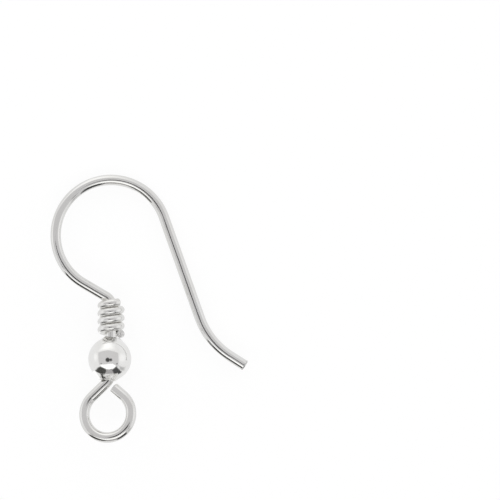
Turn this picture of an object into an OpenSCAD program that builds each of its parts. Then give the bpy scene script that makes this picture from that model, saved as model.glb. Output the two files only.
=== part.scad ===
// Ear wire: one bent round wire with an open eye, a loose hollow bead and a loose coil.
// Sizes are in mm. The wire is drawn in the XY plane, with its neck along +Y from the
// level of the bead's middle, and Z is the side that it is seen from.
// It is then laid down: it leans until the bead and the arch both touch Z = 0.

/* [Wire] */
// Diameter of the round wire of the hook
wire_d = 0.74; // [0.6:0.01:0.9]
// How much thinner the wire is in its bends, where it has drawn out a little
bend_draw = 0.01; // [0.005:0.005:0.03]
// Width of the small bevel round each cut end of the hook
cut_bevel = 0.05; // [0.01:0.01:0.15]

/* [Bead] */
// Outer diameter of the hollow bead
bead_d = 3.0; // [2.6:0.1:4]
// Length of the bead from rim to rim
bead_len = 3.0; // [2.8:0.05:4]
// Thickness of the bead's shell
bead_wall = 0.2; // [0.15:0.01:0.3]
// Thickness of the rim round each hole, where the shell thins out
bead_rim = 0.07; // [0.05:0.01:0.15]
// Diameter of the bead's hole
bead_hole_d = 1.1; // [1.08:0.01:1.4]
// Angle by which the loose bead has rolled to the right on the neck
bead_roll = 7.5; // [0:0.5:8]
// Distance of the bead's middle to the left of the neck
bead_shift = 0.09; // [0.05:0.01:0.11]

/* [Coil] */
// Diameter of the coil's wire
coil_wire_d = 0.54; // [0.4:0.01:0.6]
// Gap between the neck and the inside of the coil
coil_slack = 0.03; // [0.02:0.01:0.1]
// Gap from each turn of the coil to the next
turn_gap = 0.02; // [0.02:0.01:0.1]
// Number of turns
coil_turns = 3.87; // [2:0.01:6]
// Where the lower end of the coil is, from the front (0) towards the right (90)
coil_start_angle = 90; // [0:5:355]
// Gap between the rim of the bead's hole and the lower end of the coil
coil_gap = 0.07; // [0.06:0.01:0.15]

/* [Neck and throat] */
// Height of the neck's corner above the middle of the coil's upper end
neck_rise = 0.21; // [0.2:0.01:0.4]
// Radius of the bend over the coil, at the middle of the wire
neck_r = 0.65; // [0.5:0.05:1]
// Angle of that bend
neck_turn = 59.5; // [50:0.5:70]
// Straight length from the neck to the arch
throat_len = 1.88; // [0.5:0.01:3]

/* [Arch and shank] */
// Radius of the arch that hangs in the ear, at the middle of the wire
arch_r = 3.89; // [3:0.01:5]
// Angle through which the arch turns
arch_turn = 220; // [205:0.5:230]
// Straight length behind the ear
shank_len = 7.47; // [4:0.01:12]
// Radius of the bend that leads to the tail, at the middle of the wire
tail_r = 5.25; // [3:0.05:8]
// Angle of that bend
tail_turn = 37.9; // [10:0.1:60]
// Straight length of the tail, the part that is pushed through the lobe
tail_len = 1.27; // [0.5:0.01:3]

/* [Crook and eye] */
// Depth of the crook's corner inside the bead, from the level of its lower rim
crook_tuck = 0.15; // [0.12:0.01:0.2]
// Radius of the crook under the bead, at the middle of the wire
crook_r = 1.2; // [1.1:0.05:1.3]
// Angle of the crook
crook_turn = 46.3; // [44:0.1:48]
// Straight length from the crook to the eye
lead_len = 1.35; // [1.2:0.01:2.2]
// Inner diameter of the open eye
eye_inner_d = 2.57; // [2:0.01:3.2]
// Angle through which the eye turns
eye_turn = 276; // [240:0.5:278]
// Straight length at the open end of the eye
eye_tip_len = 0.9; // [0.3:0.01:1]
// Angle by which the crook and what follows are turned about the neck
crook_twist = -10; // [-15:0.5:5]
// Angle by which the eye is turned about the straight that leads to it
eye_twist = 7; // [-5:0.5:12]

/* [Lying down] */
// Direction in which the wire leans, from +X towards +Y
lean = 41; // [35:1:47]

/* [Hidden] */
$fn = 96;
silver = [0.78, 0.78, 0.77];
// The straights run this far into the bends, so that the wire is one solid
seam = 0.01;

// The bead and the coil on the neck. The coil starts over the lower side of the rolled rim.
bead_r = bead_d / 2;
bead_hole_r = bead_hole_d / 2;
rim_low_y = bead_len / 2 * cos(bead_roll) - bead_hole_r * sin(bead_roll);
coil_r = wire_d / 2 + coil_slack + coil_wire_d / 2;
coil_pitch = coil_wire_d + turn_gap;
coil_start_y = rim_low_y + coil_gap + coil_wire_d / 2;
coil_end_y = coil_start_y + coil_pitch * coil_turns;
coil_sides = 12;
coil_rings = ceil(coil_turns * 24);

// The straight neck runs from the crook to the bend over the coil
neck_top_y = coil_end_y + neck_rise - neck_r * tan(neck_turn / 2);
neck_foot_y = crook_r * tan(crook_turn / 2) + crook_tuck - bead_len / 2;
eye_r = (eye_inner_d + wire_d) / 2;

// Each row is a bend and the straight after it. A left turn counts as positive.
RADIUS = 0;
TURN = 1;
STRAIGHT = 2;
//           radius   turn         straight
hook_bends = [
            [neck_r,  neck_turn,   throat_len],
            [arch_r,  -arch_turn,  shank_len],
            [tail_r,  tail_turn,   tail_len]];
eye_bends = [
            [crook_r, -crook_turn, lead_len],
            [eye_r,   eye_turn,    eye_tip_len]];

// A pose is [x, y, heading]
hook_start = [0, neck_top_y, 90];
eye_start = [0, neck_foot_y, -90];

function left_of(pose, d) = [pose[0] - d * sin(pose[2]), pose[1] + d * cos(pose[2])];
function centre_of(pose, bend) = left_of(pose, sign(bend[TURN]) * bend[RADIUS]);

function after_arc(pose, bend) =
    let (c = centre_of(pose, bend))
    let (h = pose[2] + bend[TURN])
    let (p = left_of([c[0], c[1], h], -sign(bend[TURN]) * bend[RADIUS]))
    [p[0], p[1], h];

function ahead(pose, d) =
    [pose[0] + d * cos(pose[2]), pose[1] + d * sin(pose[2]), pose[2]];

function after_bend(pose, bend) = ahead(after_arc(pose, bend), bend[STRAIGHT]);

function pose_at(pose, bends, n) =
    n == 0 ? pose : after_bend(pose_at(pose, bends, n - 1), bends[n - 1]);

// Lying down: the wire turns about the bead's middle until the arch touches the table
lean_dir = [cos(lean), sin(lean)];
side_dir = [-sin(lean), cos(lean)];
bead_mid = [-bead_shift, 0];
arch_mid = centre_of(pose_at(hook_start, hook_bends, 1), hook_bends[1]);
arch_reach = (arch_mid - bead_mid) * lean_dir + arch_r;
tilt = asin((bead_d - wire_d + bend_draw) / 2 / arch_reach);

// The eye's plane, turned about the straight before it and then about the neck
X_AXIS = [1, 0, 0];
Y_AXIS = [0, 1, 0];
function turned(v, axis, angle) =
    v * cos(angle) + cross(axis, v) * sin(angle) + axis * (axis * v) * (1 - cos(angle));
lead_end = pose_at(eye_start, eye_bends, 1);
lead_point = [lead_end[0], lead_end[1], 0];
lead_dir = [cos(lead_end[2]), sin(lead_end[2]), 0];
flat_eye_mid = centre_of(lead_end, eye_bends[1]);
eye_offset = [flat_eye_mid[0], flat_eye_mid[1], 0] - lead_point;
eye_mid = turned(lead_point + turned(eye_offset, lead_dir, eye_twist), Y_AXIS, crook_twist);
function in_eye(v) = turned(turned(v, lead_dir, eye_twist), Y_AXIS, crook_twist);

// Seen from above, a direction turns to this, a point moves to here, and a round bend in the
// plane of two directions reaches this far along dir
function laid_dir(v) =
    let (flat = [v[0], v[1]])
    (flat * lean_dir * cos(tilt) + v[2] * sin(tilt)) * lean_dir + flat * side_dir * side_dir;
function laid_point(p) = laid_dir(p - [bead_mid[0], bead_mid[1], 0]);
function bend_reach(mid, r, u, v, dir) =
    laid_point(mid) * dir + (wire_d - bend_draw) / 2
    + r * norm([laid_dir(u) * dir, laid_dir(v) * dir]);
function end_reach(p, dir) =
    laid_point([p[0], p[1], 0]) * dir
    + (wire_d / 2 - cut_bevel) * norm(cross([cos(p[2]), sin(p[2]), 0], [dir[0], dir[1], 0]));

arch_point = [arch_mid[0], arch_mid[1], 0];
tail_end = pose_at(hook_start, hook_bends, 3);
left_x = -bend_reach(arch_point, arch_r, X_AXIS, Y_AXIS, [-1, 0]);
right_x = end_reach(tail_end, [1, 0]);
low_y = -bend_reach(eye_mid, eye_r, in_eye(X_AXIS), in_eye(Y_AXIS), [0, -1]);
high_y = bend_reach(arch_point, arch_r, X_AXIS, Y_AXIS, [0, 1]);
box_mid = [(left_x + right_x) / 2, (low_y + high_y) / 2];

module laid() {
    translate([-box_mid[0], -box_mid[1], bead_r])
        rotate(a = tilt, v = [side_dir[0], side_dir[1], 0])
            translate([-bead_mid[0], -bead_mid[1], 0])
                children();
}

module at_pose(pose) {
    translate([pose[0], pose[1], 0])
        rotate([0, 0, pose[2]])
            children();
}

// A straight round wire from a pose onwards
module straight(pose, len) {
    at_pose(ahead(pose, -seam))
        rotate([0, 90, 0])
            cylinder(h = len + 2 * seam, d = wire_d);
}

// A round bend from a pose onwards
module arc(pose, bend) {
    c = centre_of(pose, bend);
    first = bend[TURN] > 0 ? pose[2] - 90 : pose[2] + 90 + bend[TURN];
    translate([c[0], c[1], 0])
        rotate([0, 0, first])
            rotate_extrude(angle = abs(bend[TURN]))
                translate([bend[RADIUS], 0])
                    circle(d = wire_d - bend_draw);
}

// The last straight of a wire, with the bevel round its cut end
module cut_straight(pose, len) {
    r = wire_d / 2;
    at_pose(pose)
        rotate([0, 90, 0])
            rotate_extrude()
                polygon([
                    [0, -seam],
                    [r, -seam],
                    [r, len - cut_bevel],
                    [r - cut_bevel, len],
                    [0, len]]);
}

// One bend of a run and the straight after it, which ends in a cut if it is the last
module bend_piece(start, bends, i) {
    pose = pose_at(start, bends, i);
    foot = after_arc(pose, bends[i]);
    arc(pose, bends[i]);
    if (i < len(bends) - 1)
        straight(foot, bends[i][STRAIGHT]);
    else
        cut_straight(foot, bends[i][STRAIGHT]);
}

module ear_hook() {
    color(silver) laid() {
        straight([0, neck_foot_y, 90], neck_top_y - neck_foot_y);
        for (i = [0 : len(hook_bends) - 1])
            bend_piece(hook_start, hook_bends, i);
        rotate([0, crook_twist, 0]) {
            bend_piece(eye_start, eye_bends, 0);
            translate(lead_point)
                rotate(a = eye_twist, v = lead_dir)
                    translate(-lead_point)
                        bend_piece(eye_start, eye_bends, 1);
        }
    }
}

// The coil rises to the right across its front, as a right-handed thread does.
// A ring of points lies square to the coil's wire at each step.
function coil_point(k, j) =
    let (turned = 360 * coil_turns * k / coil_rings)
    let (a = coil_start_angle + turned)
    let (slope = atan(coil_pitch / (2 * PI * coil_r)))
    let (b = 360 * j / coil_sides)
    let (out = [sin(a), 0, cos(a)])
    let (up = [-sin(slope) * cos(a), cos(slope), sin(slope) * sin(a)])
    [0, coil_start_y + coil_pitch * turned / 360, 0]
    + coil_r * out + coil_wire_d / 2 * (cos(b) * out + sin(b) * up);

module coil() {
    n = coil_sides;
    points = [for (k = [0 : coil_rings]) for (j = [0 : n - 1]) coil_point(k, j)];
    sides = [for (k = [0 : coil_rings - 1]) for (j = [0 : n - 1]) for (half = [0, 1])
        let (i = k * n + j)
        let (i2 = k * n + (j + 1) % n)
        half == 0 ? [i, i + n, i2] : [i2, i + n, i2 + n]];
    first_end = [for (j = [0 : n - 1]) j];
    last_end = [for (j = [n - 1 : -1 : 0]) coil_rings * n + j];
    color(silver) laid()
        polyhedron(points, concat(sides, [first_end, last_end]));
}

// A flare runs straight from a rim to where it touches a ball, at this angle from the hole
function flare_angle(r, reach) =
    acos(r / norm([reach, bead_hole_r])) + atan(bead_hole_r / reach);

// A ball with a flare at each end, which narrows to the hole at this reach from the middle
module flared_ball(r, reach) {
    a = flare_angle(r, reach);
    sphere(r = r);
    for (end = [0, 1])
        mirror([0, 0, end])
            translate([0, 0, r * cos(a)])
                cylinder(h = reach - r * cos(a), r1 = r * sin(a), r2 = bead_hole_r);
}

module bead() {
    color(silver) laid()
        translate([bead_mid[0], bead_mid[1], 0])
            rotate([-90, 0, -bead_roll])
                difference() {
                    flared_ball(bead_r, bead_len / 2);
                    flared_ball(bead_r - bead_wall, bead_len / 2 - bead_rim);
                    cylinder(h = 2 * bead_len, r = bead_hole_r, center = true);
                }
}

ear_hook();
coil();
bead();
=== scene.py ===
# Ear wire: fine meshes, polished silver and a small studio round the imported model.
# Sizes are in mm, in the frame in which the wire is drawn, and MM turns them to metres.
import math

import bmesh
import bpy
from mathutils import Matrix, Vector


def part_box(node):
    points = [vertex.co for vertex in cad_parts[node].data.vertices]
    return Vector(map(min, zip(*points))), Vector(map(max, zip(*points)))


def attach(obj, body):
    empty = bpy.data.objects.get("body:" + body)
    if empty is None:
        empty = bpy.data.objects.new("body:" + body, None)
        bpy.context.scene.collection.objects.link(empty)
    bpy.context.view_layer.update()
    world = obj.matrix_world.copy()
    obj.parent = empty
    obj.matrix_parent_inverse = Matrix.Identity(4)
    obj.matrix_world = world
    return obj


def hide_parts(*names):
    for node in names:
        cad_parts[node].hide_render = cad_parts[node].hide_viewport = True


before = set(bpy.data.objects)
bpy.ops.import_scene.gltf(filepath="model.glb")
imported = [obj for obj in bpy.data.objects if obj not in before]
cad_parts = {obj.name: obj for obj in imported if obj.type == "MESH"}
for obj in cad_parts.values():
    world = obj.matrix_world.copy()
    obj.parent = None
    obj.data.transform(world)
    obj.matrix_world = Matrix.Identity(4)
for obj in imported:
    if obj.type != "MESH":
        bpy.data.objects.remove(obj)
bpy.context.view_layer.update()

MM = 0.001

# The part's own sizes
WIRE_D = 0.74
BEND_DRAW = 0.01
CUT_BEVEL = 0.05
BEAD_D = 3.0
BEAD_LEN = 3.0
BEAD_WALL = 0.2
BEAD_RIM = 0.07
BEAD_HOLE_D = 1.1
BEAD_ROLL = 7.5
BEAD_SHIFT = 0.09
COIL_WIRE_D = 0.54
COIL_SLACK = 0.03
TURN_GAP = 0.02
COIL_TURNS = 3.87
COIL_START_ANGLE = 90
COIL_GAP = 0.07
NECK_RISE = 0.21
CROOK_TUCK = 0.15
EYE_INNER_D = 2.57
LEAN = 41
# A bend is (radius, turn, straight after it), and a left turn counts as positive
NECK_BEND = (0.65, 59.5, 1.88)
ARCH_BEND = (3.89, -220, 7.47)
TAIL_BEND = (5.25, 37.9, 1.27)
CROOK_BEND = (1.2, -46.3, 1.35)
EYE_BEND = ((EYE_INNER_D + WIRE_D) / 2, 276, 0.9)
# The crook is turned about the neck, and the eye about the straight that leads to it
CROOK_TWIST = -10
EYE_TWIST = 7

# Sizes that only the fine meshes have
TAIL_ROUND = 0.09
COIL_BEVEL = 0.03
CUT_DOME = 0.008
# The turns of the real coil lie closer than the gap that the solid keeps
TURN_PRESS = 0.006
# A flare of the bead is pulled in a little, as a pressed collar is
FLARE_PULL = 0.005
# The rolled lip of the bead's rim reaches this share of its own radius past the bore
LIP_SHARE = 0.6
# Distance over which the wire's thickness changes between a straight and a bend
DRAW_EASE = 0.175

# How finely each mesh is divided
WIRE_SIDES = 48
BEND_STEP_DEG = 2.0
STRAIGHT_STEP = 0.06
COIL_SIDES = 32
COIL_STEPS_PER_TURN = 72
BEVEL_RINGS = 4
DOME_RINGS = 7
BEAD_AROUND = 160
LIP_STEPS = 6
FLARE_STEPS = 12
BALL_STEPS = 48
INSIDE_STEPS = 16
INSIDE_FLARE_STEPS = 6

# The bead and the coil on the neck
roll = math.radians(BEAD_ROLL)
RIM_LOW_Y = BEAD_LEN / 2 * math.cos(roll) - BEAD_HOLE_D / 2 * math.sin(roll)
COIL_R = WIRE_D / 2 + COIL_SLACK + COIL_WIRE_D / 2
COIL_PITCH = COIL_WIRE_D + TURN_GAP
COIL_START_Y = RIM_LOW_Y + COIL_GAP + COIL_WIRE_D / 2
COIL_END_Y = COIL_START_Y + COIL_PITCH * COIL_TURNS
NECK_TOP_Y = COIL_END_Y + NECK_RISE - NECK_BEND[0] * math.tan(math.radians(NECK_BEND[1] / 2))
NECK_FOOT_Y = CROOK_BEND[0] * math.tan(math.radians(-CROOK_BEND[1] / 2)) + CROOK_TUCK - BEAD_LEN / 2


# The path of the wire, in poses (x, y, heading in degrees)
def left_of(pose, d):
    x, y, h = pose
    a = math.radians(h)
    return x - d * math.sin(a), y + d * math.cos(a)


def after_arc(pose, radius, turn):
    side = math.copysign(radius, turn)
    cx, cy = left_of(pose, side)
    h = pose[2] + turn
    x, y = left_of((cx, cy, h), -side)
    return x, y, h


def ahead(pose, d):
    x, y, h = pose
    a = math.radians(h)
    return x + d * math.cos(a), y + d * math.sin(a), h


def run(pose, bends):
    """Poses along bends and straights, each with the share of bend (1) or straight (0), and the
    number of the bend."""
    out = []
    for i_bend, (radius, turn, straight) in enumerate(bends):
        n = math.ceil(abs(turn) / BEND_STEP_DEG)
        for i in range(n):
            out.append((*after_arc(pose, radius, turn * i / n), 1.0, i_bend))
        pose = after_arc(pose, radius, turn)
        n = math.ceil(straight / STRAIGHT_STEP)
        for i in range(n):
            out.append((*ahead(pose, straight * i / n), 0.0, i_bend))
        pose = ahead(pose, straight)
    out.append((*pose, 0.0, len(bends) - 1))
    return out


def smooth(values, at, width):
    """Eases each change of a list of values over a distance."""
    out = []
    for s in at:
        total = weight = 0.0
        for v, q in zip(values, at):
            w = math.exp(-(((s - q) / width) ** 2))
            total += w * v
            weight += w
        out.append(total / weight)
    return out


# Lying down: the wire leans on the bead and on the arch
lean_dir = Vector((math.cos(math.radians(LEAN)), math.sin(math.radians(LEAN))))
side_dir = Vector((-lean_dir.y, lean_dir.x))
bead_mid = Vector((-BEAD_SHIFT, 0.0))
hook_start = (0.0, NECK_TOP_Y, 90.0)
eye_start = (0.0, NECK_FOOT_Y, -90.0)
arch_start = ahead(after_arc(hook_start, *NECK_BEND[:2]), NECK_BEND[2])
arch_mid = Vector(left_of(arch_start, -ARCH_BEND[0]))
arch_reach = (arch_mid - bead_mid) @ lean_dir + ARCH_BEND[0]
tilt = math.asin((BEAD_D - WIRE_D + BEND_DRAW) / 2 / arch_reach)
bead_low, bead_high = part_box("bead")
bead_world = (bead_low + bead_high) / 2
laid = (
    Matrix.Translation(bead_world)
    @ Matrix.Rotation(tilt, 4, Vector((side_dir.x, side_dir.y, 0.0)))
    @ Matrix.Scale(MM, 4)
    @ Matrix.Translation((-bead_mid.x, -bead_mid.y, 0.0))
)


# Meshes
def new_object(name, bm, materials, body, *nodes):
    bm.normal_update()
    mesh = bpy.data.meshes.new(name)
    bm.to_mesh(mesh)
    bm.free()
    mesh.transform(laid)
    for material in materials:
        mesh.materials.append(material)
    obj = bpy.data.objects.new(name, mesh)
    bpy.context.scene.collection.objects.link(obj)
    for poly in mesh.polygons:
        poly.use_smooth = True
    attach(obj, body)
    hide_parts(*nodes)


def sweep(rings):
    """Joins rings of (points, distance along, girth) into a tube with a cut face at each end. The
    tube's UV is in mm along and round it, and a cut face's in mm from its middle."""
    bm = bmesh.new()
    uv = bm.loops.layers.uv.verify()
    rows = [[bm.verts.new(p) for p in pts] for pts, _, _ in rings]
    n = len(rows[0])
    face_from = DOME_RINGS
    face_to = len(rings) - 1 - DOME_RINGS
    for k in range(len(rows) - 1):
        a, b = rows[k], rows[k + 1]
        cut = k < face_from or k >= face_to
        for j in range(n):
            j2 = (j + 1) % n
            f = bm.faces.new((a[j], a[j2], b[j2], b[j]))
            f.material_index = int(cut)
            for loop, (row, step) in zip(f.loops, ((k, j), (k, j + 1), (k + 1, j + 1), (k + 1, j))):
                if cut:
                    loop[uv].uv = flat_uv(rings[row][0], step % n, n)
                else:
                    loop[uv].uv = (rings[row][1], rings[row][2] * step / n)
    for ring in (rows[0][::-1], rows[-1]):
        f = bm.faces.new(ring)
        f.material_index = 1
    bmesh.ops.recalc_face_normals(bm, faces=bm.faces[:])
    return bm


def flat_uv(points, step, n):
    """A place on a cut face, in mm from its middle."""
    r = (points[0] - points[n // 2]).length / 2
    b = 2 * math.pi * step / n
    return r * math.cos(b), r * math.sin(b)


def tube_ring(mid, out, up, r, sides):
    return [
        mid + r * (math.cos(2 * math.pi * j / sides) * out + math.sin(2 * math.pi * j / sides) * up)
        for j in range(sides)
    ]


def cut_end(mid, out, up, go, r, sides, s, bevel):
    """Rings that close a wire with a small rounded bevel and a slightly domed cut face."""
    rings = []
    girth = 2 * math.pi * r
    for i in range(1, BEVEL_RINGS + 1):
        a = math.pi / 2 * i / BEVEL_RINGS
        rr = r - bevel * (1 - math.cos(a))
        depth = (bevel - CUT_DOME) * math.sin(a)
        rings.append((tube_ring(mid + go * depth, out, up, rr, sides), s + bevel * a, girth))
    for i in range(1, DOME_RINGS + 1):
        share = i / (DOME_RINGS + 1)
        rr = (r - bevel) * (1 - share)
        depth = bevel - CUT_DOME + CUT_DOME * (1 - (1 - share) ** 2)
        rings.append((tube_ring(mid + go * depth, out, up, rr, sides), s + bevel * math.pi / 2, girth))
    return rings


def frame_at(h):
    """The directions across and along a wire that heads along h in the wire's plane."""
    d = math.radians(h)
    return Vector((math.sin(d), -math.cos(d), 0)), Vector((math.cos(d), math.sin(d), 0))


def eye_turns():
    """Where the twists take a point of the crook and a point of the eye."""
    lead_x, lead_y, lead_h = ahead(after_arc(eye_start, *CROOK_BEND[:2]), CROOK_BEND[2])
    lead = Matrix.Translation((lead_x, lead_y, 0))
    _, lead_dir = frame_at(lead_h)
    about_neck = Matrix.Rotation(math.radians(CROOK_TWIST), 4, "Y")
    about_lead = lead @ Matrix.Rotation(math.radians(EYE_TWIST), 4, lead_dir) @ lead.inverted()
    return about_neck, about_neck @ about_lead


def turned(rings, turn):
    return [([turn @ p for p in points], s, girth) for points, s, girth in rings]


def hook_path():
    """The path from the eye's tip to the tail, and how many of its poses are in the eye and in
    the eye with the crook."""
    neck_run = run(hook_start, (NECK_BEND, ARCH_BEND, TAIL_BEND))
    eye_run = run(eye_start, (CROOK_BEND, EYE_BEND))
    n = math.ceil((NECK_TOP_Y - NECK_FOOT_Y) / STRAIGHT_STEP)
    rise = (NECK_TOP_Y - NECK_FOOT_Y) / n
    neck = [(0.0, NECK_FOOT_Y + rise * i, 90.0, 0.0, 0) for i in range(1, n)]
    path = [(x, y, h + 180, b, i) for x, y, h, b, i in reversed(eye_run)] + neck + neck_run
    # The first and last stretch leave room for the bevel of the cut
    path[0] = (*ahead(path[0][:3], CUT_BEVEL), 0.0, 0)
    path[-1] = (*ahead(path[-1][:3], -TAIL_ROUND), 0.0, 0)
    return path, sum(1 for p in eye_run if p[4] == 1), len(eye_run)


def hook_mesh(materials):
    up = Vector((0, 0, 1))
    path, eye_end, crook_end = hook_path()
    lengths = [0.0]
    for p, q in zip(path, path[1:]):
        lengths.append(lengths[-1] + math.hypot(q[0] - p[0], q[1] - p[1]))
    bend_share = smooth([p[3] for p in path], lengths, DRAW_EASE)
    rings = []
    for (x, y, h, _, _), s, bend in zip(path, lengths, bend_share):
        out, _ = frame_at(h)
        r = (WIRE_D - BEND_DRAW * bend) / 2
        rings.append((tube_ring(Vector((x, y, 0)), out, up, r, WIRE_SIDES), s, 2 * math.pi * r))
    caps = []
    for end, sign, bevel in ((0, -1, CUT_BEVEL), (-1, 1, TAIL_ROUND)):
        x, y, h = path[end][:3]
        out, along = frame_at(h)
        mid = Vector((x, y, 0))
        caps.append(cut_end(mid, out, up, along * sign, WIRE_D / 2, WIRE_SIDES, lengths[end], bevel))
    to_crook, to_eye = eye_turns()
    eye = turned(caps[0][::-1] + rings[:eye_end], to_eye)
    crook = turned(rings[eye_end:crook_end], to_crook)
    new_object("hook_wire", sweep(eye + crook + rings[crook_end:] + caps[1]), materials, "wire", "ear_hook")


def coil_mesh(materials):
    steps = math.ceil(COIL_TURNS * COIL_STEPS_PER_TURN)
    slope = math.atan(COIL_PITCH / (2 * math.pi * COIL_R))
    r = COIL_WIRE_D / 2 + TURN_PRESS
    rings = []
    caps = []
    for k in range(steps + 1):
        wound = 360 * COIL_TURNS * k / steps
        a = math.radians(COIL_START_ANGLE + wound)
        rise = COIL_START_Y + COIL_PITCH * wound / 360
        mid = Vector((COIL_R * math.sin(a), rise, COIL_R * math.cos(a)))
        out = Vector((math.sin(a), 0, math.cos(a)))
        along = Vector((math.cos(slope) * math.cos(a), math.sin(slope), -math.cos(slope) * math.sin(a)))
        up = along.cross(out)
        s = math.radians(wound) * COIL_R / math.cos(slope)
        if k in (0, steps):
            go = along if k else -along
            mid = mid - go * COIL_BEVEL
            caps.append(cut_end(mid, out, up, go, r, COIL_SIDES, s, COIL_BEVEL))
        rings.append((tube_ring(mid, out, up, r, COIL_SIDES), s, 2 * math.pi * r))
    new_object("coil_wire", sweep(caps[0][::-1] + rings + caps[1]), materials, "coil", "coil")


def flare_angle(r, reach):
    """The angle from the hole at which a flare to this reach leaves a ball."""
    hole = BEAD_HOLE_D / 2
    return math.acos(r / math.hypot(reach, hole)) + math.atan(hole / reach)


def bead_outside():
    """Points (out, along) of the bead's outside, from one rim to the other."""
    r, reach, hole = BEAD_D / 2, BEAD_LEN / 2, BEAD_HOLE_D / 2
    half = []
    # The lip of the rim is rolled over, from the bore to the flare
    lip = BEAD_RIM / 2
    for i in range(LIP_STEPS + 1):
        a = math.pi * i / LIP_STEPS
        half.append((hole + lip * (1 - math.sin(a)) * LIP_SHARE, reach - lip * (1 + math.cos(a))))
    a0 = flare_angle(r, reach)
    foot, top = (r * math.sin(a0), r * math.cos(a0)), half[-1]
    for i in range(1, FLARE_STEPS):
        t = i / FLARE_STEPS
        pull = FLARE_PULL * math.sin(math.pi * t) ** 2
        out = top[0] + (foot[0] - top[0]) * t - pull * math.cos(a0) / 2
        half.append((out, top[1] + (foot[1] - top[1]) * t - pull))
    for i in range(BALL_STEPS + 1):
        a = a0 + (math.pi / 2 - a0) * i / BALL_STEPS
        half.append((r * math.sin(a), r * math.cos(a)))
    return half + [(x, -y) for x, y in reversed(half[:-1])]


def bead_inside():
    """Points (out, along) of the bead's inside, from the middle to the rim at the low end."""
    r, reach, hole = BEAD_D / 2 - BEAD_WALL, BEAD_LEN / 2 - BEAD_RIM, BEAD_HOLE_D / 2
    a1 = flare_angle(r, reach)
    half = []
    for i in range(INSIDE_STEPS + 1):
        a = math.pi / 2 + (math.pi / 2 - a1) * i / INSIDE_STEPS
        half.append((r * math.sin(a), r * math.cos(a)))
    x, y = half[-1]
    for i in range(1, INSIDE_FLARE_STEPS):
        t = i / INSIDE_FLARE_STEPS
        half.append((x + (hole - x) * t, y + (-reach - y) * t))
    return half


def bead_mesh(materials):
    inside = bead_inside()
    profile = bead_outside() + inside[::-1] + [(x, -y) for x, y in inside[1:]]
    bm = bmesh.new()
    uv = bm.loops.layers.uv.verify()
    turn = Matrix.Translation((bead_mid.x, bead_mid.y, 0)) @ Matrix.Rotation(-roll, 4, "Z")
    rows = []
    for k in range(BEAD_AROUND):
        b = 2 * math.pi * k / BEAD_AROUND
        rows.append([bm.verts.new(turn @ Vector((x * math.cos(b), y, x * math.sin(b)))) for x, y in profile])
    m = len(profile)
    for k in range(BEAD_AROUND):
        a, c = rows[k], rows[(k + 1) % BEAD_AROUND]
        for j in range(m):
            j2 = (j + 1) % m
            f = bm.faces.new((a[j], a[j2], c[j2], c[j]))
            for loop, (u, v) in zip(f.loops, ((k, j), (k, j + 1), (k + 1, j + 1), (k + 1, j))):
                loop[uv].uv = (u / BEAD_AROUND, v / m)
    bmesh.ops.recalc_face_normals(bm, faces=bm.faces[:])
    new_object("bead_shell", bm, materials, "bead", "bead")


# Materials. Each silver's fine lines, marks and haze come from noise.
SILVER = (0.93, 0.925, 0.91, 1)
# Scale that turns a place in metres to mm
TO_MM = (1000.0, 1000.0, 1000.0)


def plain_silver(name, roughness):
    mat = bpy.data.materials.new(name)
    mat.use_nodes = True
    shader = mat.node_tree.nodes["Principled BSDF"]
    shader.inputs["Metallic"].default_value = 1.0
    shader.inputs["Base Color"].default_value = SILVER
    shader.inputs["Roughness"].default_value = roughness
    return mat, shader


def add(mat, kind, inputs=None, **settings):
    node = mat.node_tree.nodes.new(kind)
    for key, value in settings.items():
        setattr(node, key, value)
    for key, value in (inputs or {}).items():
        if hasattr(value, "is_output"):
            mat.node_tree.links.new(value, node.inputs[key])
        else:
            node.inputs[key].default_value = value
    return node


def noise(mat, vector, scale, detail, rough):
    inputs = {"Vector": vector, "Scale": scale, "Detail": detail, "Roughness": rough}
    return add(mat, "ShaderNodeTexNoise", inputs).outputs["Fac"]


def spread(mat, value, source, target):
    """Takes a value from one range, as (low, high), to another."""
    inputs = {"Value": value, "From Min": source[0], "From Max": source[1]}
    inputs.update({"To Min": target[0], "To Max": target[1]})
    return add(mat, "ShaderNodeMapRange", inputs).outputs["Result"]


def place(mat, vector, scale, rotation=(0, 0, 0)):
    inputs = {"Vector": vector, "Scale": scale, "Rotation": rotation}
    return add(mat, "ShaderNodeMapping", inputs).outputs["Vector"]


def set_roughness(mat, shader, fine, haze):
    """The roughness is the sum of a fine part and a hazy part."""
    total = add(mat, "ShaderNodeMath", {0: fine, 1: haze}, operation="ADD")
    mat.node_tree.links.new(total.outputs[0], shader.inputs["Roughness"])


def set_tone(mat, shader, haze, dark, light):
    """The colour goes from dark to light with the haze."""
    tone = add(mat, "ShaderNodeValToRGB", {"Fac": haze})
    for element, position, colour in zip(tone.color_ramp.elements, (0.3, 0.65), (dark, light)):
        element.position = position
        element.color = (*colour, 1)
    mat.node_tree.links.new(tone.outputs["Color"], shader.inputs["Base Color"])


def set_bumps(mat, shader, *bumps):
    """Bumps of (height, strength, distance in m), one on another."""
    last = None
    for height, strength, distance in bumps:
        inputs = {"Height": height, "Strength": strength, "Distance": distance}
        if last is not None:
            inputs["Normal"] = last
        last = add(mat, "ShaderNodeBump", inputs).outputs["Normal"]
    mat.node_tree.links.new(last, shader.inputs["Normal"])


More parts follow.
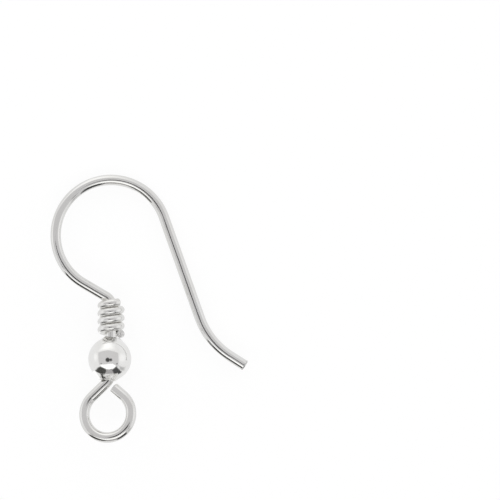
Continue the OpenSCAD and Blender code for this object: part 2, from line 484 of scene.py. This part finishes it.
def drawn_silver(name, roughness, fine, dull):
    """Polished wire, with faint draw lines along it and soft handling marks."""
    mat, shader = plain_silver(name, roughness)
    uv = add(mat, "ShaderNodeUVMap").outputs["UV"]
    room = add(mat, "ShaderNodeTexCoord").outputs["Object"]
    mm = place(mat, room, TO_MM)
    lines = noise(mat, place(mat, uv, (0.35, 38.0, 1.0)), scale=1.0, detail=4.0, rough=0.62)
    marks = noise(mat, mm, scale=1.6, detail=5.0, rough=0.6)
    haze = noise(mat, mm, scale=0.45, detail=2.0, rough=0.5)
    set_roughness(
        mat, shader, spread(mat, lines, (0.3, 0.7), (-0.02, 0.035)),
        spread(mat, haze, (0.35, 0.65), (roughness - 0.02, roughness + 0.03)))
    dark, light = (0.905, 0.895, 0.87), (0.955, 0.952, 0.942)
    set_tone(mat, shader, haze, [c * dull for c in dark], [c * dull for c in light])
    set_bumps(mat, shader, (lines, fine, 0.000004), (marks, fine, 0.000006))
    return mat


def cut_silver(name):
    """A sheared end, with the marks of the cutter across it."""
    mat, shader = plain_silver(name, roughness=0.22)
    uv = add(mat, "ShaderNodeUVMap").outputs["UV"]
    shear = noise(mat, place(mat, uv, (1.5, 8.0, 1.0)), scale=1.0, detail=4.0, rough=0.6)
    grain = noise(mat, uv, scale=14.0, detail=3.0, rough=0.6)
    rough = spread(mat, grain, (0.3, 0.7), (0.15, 0.32))
    mat.node_tree.links.new(rough, shader.inputs["Roughness"])
    set_bumps(mat, shader, (shear, 1.0, 0.00006), (grain, 0.5, 0.000006))
    return mat


def tumbled_silver(name, roughness):
    """The bead, tumbled bright, with soft dings and fine scratches in all directions."""
    mat, shader = plain_silver(name, roughness)
    room = add(mat, "ShaderNodeTexCoord").outputs["Object"]
    mm = place(mat, room, TO_MM)
    haze = noise(mat, mm, scale=0.8, detail=3.0, rough=0.5)
    dings = noise(mat, mm, scale=2.4, detail=2.0, rough=0.4)
    across = place(mat, mm, (2.0, 26.0, 2.0), rotation=(0.6, 0.9, 0.4))
    scratches = noise(mat, across, scale=1.0, detail=5.0, rough=0.65)
    set_roughness(
        mat, shader, spread(mat, scratches, (0.3, 0.7), (-0.015, 0.03)),
        spread(mat, haze, (0.35, 0.65), (roughness - 0.015, roughness + 0.03)))
    set_tone(mat, shader, haze, dark=(0.91, 0.902, 0.882), light=(0.952, 0.95, 0.942))
    set_bumps(mat, shader, (dings, 0.5, 0.000008), (scratches, 0.35, 0.000003))
    return mat


cut_face = cut_silver("cut_silver")
hook_mesh((drawn_silver("wire_silver", roughness=0.09, fine=0.4, dull=0.9), cut_face))
coil_mesh((drawn_silver("coil_silver", roughness=0.19, fine=0.5, dull=0.92), cut_face))
bead_mesh((tumbled_silver("bead_silver", roughness=0.09),))


# The camera looks straight down, as in the photograph
VIEW_MM = 34.979
VIEW_FROM_BEAD = (9.759, 7.585)
LENS, SENSOR = 300.0, 36.0
cam_data = bpy.data.cameras.new("camera")
cam_data.lens = LENS
cam_data.sensor_width = SENSOR
cam = bpy.data.objects.new("camera", cam_data)
bpy.context.scene.collection.objects.link(cam)
cam.location = (
    bead_world.x + VIEW_FROM_BEAD[0] * MM,
    bead_world.y + VIEW_FROM_BEAD[1] * MM,
    VIEW_MM * MM * LENS / SENSOR,
)
bpy.context.scene.camera = cam


# The studio: a white tent with cards round the wire. Each card is given by where it shows in
# the bead, in bead radii from the bead's middle, and stands on a dome round the bead.
TENT = 0.83
CARD_RINGS = 8
EDGE_STEPS = 6
OVAL_CORNERS = 12


def glow():
    """Light at the level that each point of a card holds."""
    mat = bpy.data.materials.new("card_glow")
    mat.use_nodes = True
    nodes, links = mat.node_tree.nodes, mat.node_tree.links
    nodes.clear()
    out = nodes.new("ShaderNodeOutputMaterial")
    emission = nodes.new("ShaderNodeEmission")
    level = nodes.new("ShaderNodeAttribute")
    level.attribute_name = "level"
    links.new(level.outputs["Color"], emission.inputs["Color"])
    links.new(emission.outputs[0], out.inputs["Surface"])
    return mat


card_glow = glow()


def mirrored(u, v):
    """The direction that the bead mirrors at (u, v)."""
    n = Vector((u, v, math.sqrt(max(0.0, 1 - u * u - v * v))))
    eye = (bead_world + n * BEAD_D / 2 * MM - cam.location).normalized()
    return eye - 2 * (eye @ n) * n


def card(name, level, reach, outline, soft=0.0):
    """A card at this reach in m. A soft one fades to the tent's own level over this share of its
    width."""
    edge = []
    for (u, v), (u2, v2) in zip(outline, outline[1:] + outline[:1]):
        edge += [(u + (u2 - u) * i / EDGE_STEPS, v + (v2 - v) * i / EDGE_STEPS) for i in range(EDGE_STEPS)]
    n = len(edge)
    mu = sum(p[0] for p in edge) / n
    mv = sum(p[1] for p in edge) / n
    points = []
    levels = []
    for k in range(CARD_RINGS):
        t = 1 - k / CARD_RINGS
        full = 1.0 if soft == 0 else min(1.0, (1 - t) / soft)
        full = full * full * (3 - 2 * full)
        points += [bead_world + reach * mirrored(mu + (u - mu) * t, mv + (v - mv) * t) for u, v in edge]
        levels += [TENT + (c - TENT) * full for _ in edge for c in (*level, TENT)]
    faces = []
    for k in range(CARD_RINGS - 1):
        for i in range(n):
            i2 = (i + 1) % n
            faces.append((k * n + i, k * n + i2, (k + 1) * n + i2, (k + 1) * n + i))
    faces.append(tuple(range((CARD_RINGS - 1) * n, CARD_RINGS * n)))
    mesh = bpy.data.meshes.new(name)
    mesh.from_pydata(points, [], faces)
    mesh.attributes.new("level", "FLOAT_COLOR", "POINT").data.foreach_set("color", levels)
    mesh.materials.append(card_glow)
    obj = bpy.data.objects.new(name, mesh)
    bpy.context.scene.collection.objects.link(obj)
    obj.visible_camera = False
    obj.visible_shadow = False


def oval(u, v, ru, rv):
    angles = [2 * math.pi * t / OVAL_CORNERS for t in range(OVAL_CORNERS)]
    return [(u + ru * math.cos(a), v + rv * math.sin(a)) for a in angles]


# White cards at the top and at the sides of the picture
card("window", (1.12, 1.12, 1.11), 0.56, [
    (-0.62, 0.32), (-0.48, 0.5), (-0.38, 0.7), (-0.3, 0.92),
    (0.2, 0.92), (0.34, 0.66), (0.36, 0.44), (0.0, 0.36)], soft=0.85)
card("side_left", (0.98, 0.98, 0.98), 0.56, oval(-0.63, 0.1, 0.13, 0.28), soft=0.8)
card("side_right", (0.95, 0.95, 0.95), 0.56, oval(0.6, 0.07, 0.22, 0.3), soft=0.8)
# The grey card overhead, with two dark spots, a white strip and a small clip at each of its ends
card("grey_card", (0.635, 0.63, 0.635), 0.54, [
    (-0.5, 0.32), (-0.28, 0.39), (-0.02, 0.425), (0.22, 0.38), (0.42, 0.3),
    (0.44, -0.05), (0.43, -0.34), (0.3, -0.34), (-0.45, -0.3), (-0.49, -0.1)])
card("lens_left", (0.06, 0.06, 0.06), 0.5, oval(-0.065, -0.015, 0.1, 0.1))
card("lens_right", (0.07, 0.07, 0.07), 0.51, oval(0.085, -0.012, 0.06, 0.07))
card("strip", (1.25, 1.25, 1.24), 0.5, [
    (-0.45, -0.24), (-0.17, -0.235), (-0.05, -0.22), (0.05, -0.2), (0.17, -0.2), (0.3, -0.28),
    (0.28, -0.34), (0.15, -0.42), (0.02, -0.45), (-0.13, -0.44), (-0.3, -0.36)])
card("clip_left", (0.2, 0.2, 0.2), 0.5, oval(-0.37, -0.19, 0.035, 0.03))
card("clip_right", (0.2, 0.2, 0.2), 0.5, oval(0.36, -0.19, 0.035, 0.04))
# The open front of the tent, grey between two dark sides
card("front_grey", (0.39, 0.38, 0.38), 0.54, [
    (-0.16, -0.42), (0.14, -0.42), (0.22, -0.6), (0.22, -0.66),
    (0.0, -0.67), (-0.22, -0.66), (-0.18, -0.55)])
card("dark_left", (0.065, 0.065, 0.061), 0.52, [
    (-0.43, -0.32), (-0.28, -0.38), (-0.133, -0.44), (-0.16, -0.58), (-0.2, -0.67), (-0.38, -0.66),
    (-0.47, -0.64), (-0.56, -0.6), (-0.66, -0.53), (-0.54, -0.4)])
card("dark_right", (0.07, 0.07, 0.07), 0.52, [
    (0.33, -0.32), (0.22, -0.41), (0.124, -0.5), (0.2, -0.585), (0.19, -0.71), (0.27, -0.76),
    (0.43, -0.69), (0.58, -0.6), (0.46, -0.45)])
card("shade_right", (0.48, 0.48, 0.48), 0.55, [
    (0.43, -0.2), (0.56, -0.3), (0.8, -0.34), (0.74, -0.56), (0.56, -0.62), (0.4, -0.45)], soft=0.85)
card("bounce_left", (1.11, 1.11, 1.11), 0.54, [
    (-0.68, -0.54), (-0.56, -0.69), (-0.44, -0.79), (-0.5, -0.86), (-0.66, -0.74), (-0.8, -0.58)])

# The floor, in whose place the silver mirrors the tent
FLOOR_REACH_M = 3
PAPER = (0.2, 0.2, 0.2, 1)
PAPER_ROUGHNESS = 0.8
PAPER_GLOW = 0.86
WHITE = (1, 1, 1, 1)
floor_mesh = bpy.data.meshes.new("floor")
floor_corners = [(x * FLOOR_REACH_M, y * FLOOR_REACH_M, 0) for x, y in ((-1, -1), (1, -1), (1, 1), (-1, 1))]
floor_mesh.from_pydata(floor_corners, [], [(0, 1, 2, 3)])
floor = bpy.data.objects.new("floor", floor_mesh)
bpy.context.scene.collection.objects.link(floor)
floor_mat = bpy.data.materials.new("floor_white")
floor_mat.use_nodes = True
paper = floor_mat.node_tree.nodes["Principled BSDF"]
paper.inputs["Base Color"].default_value = PAPER
paper.inputs["Roughness"].default_value = PAPER_ROUGHNESS
paper.inputs["Specular IOR Level"].default_value = 0.0
paper.inputs["Emission Color"].default_value = WHITE
paper.inputs["Emission Strength"].default_value = PAPER_GLOW
floor_mesh.materials.append(floor_mat)
floor.visible_glossy = False

world = bpy.data.worlds.new("tent")
world.use_nodes = True
world.node_tree.nodes["Background"].inputs["Color"].default_value = WHITE
world.node_tree.nodes["Background"].inputs["Strength"].default_value = TENT
bpy.context.scene.world = world
bpy.context.scene.view_settings.view_transform = "Standard"
# The pieces mirror each other many times where they meet
BOUNCES = 16
bpy.context.scene.cycles.max_bounces = BOUNCES
bpy.context.scene.cycles.glossy_bounces = BOUNCES
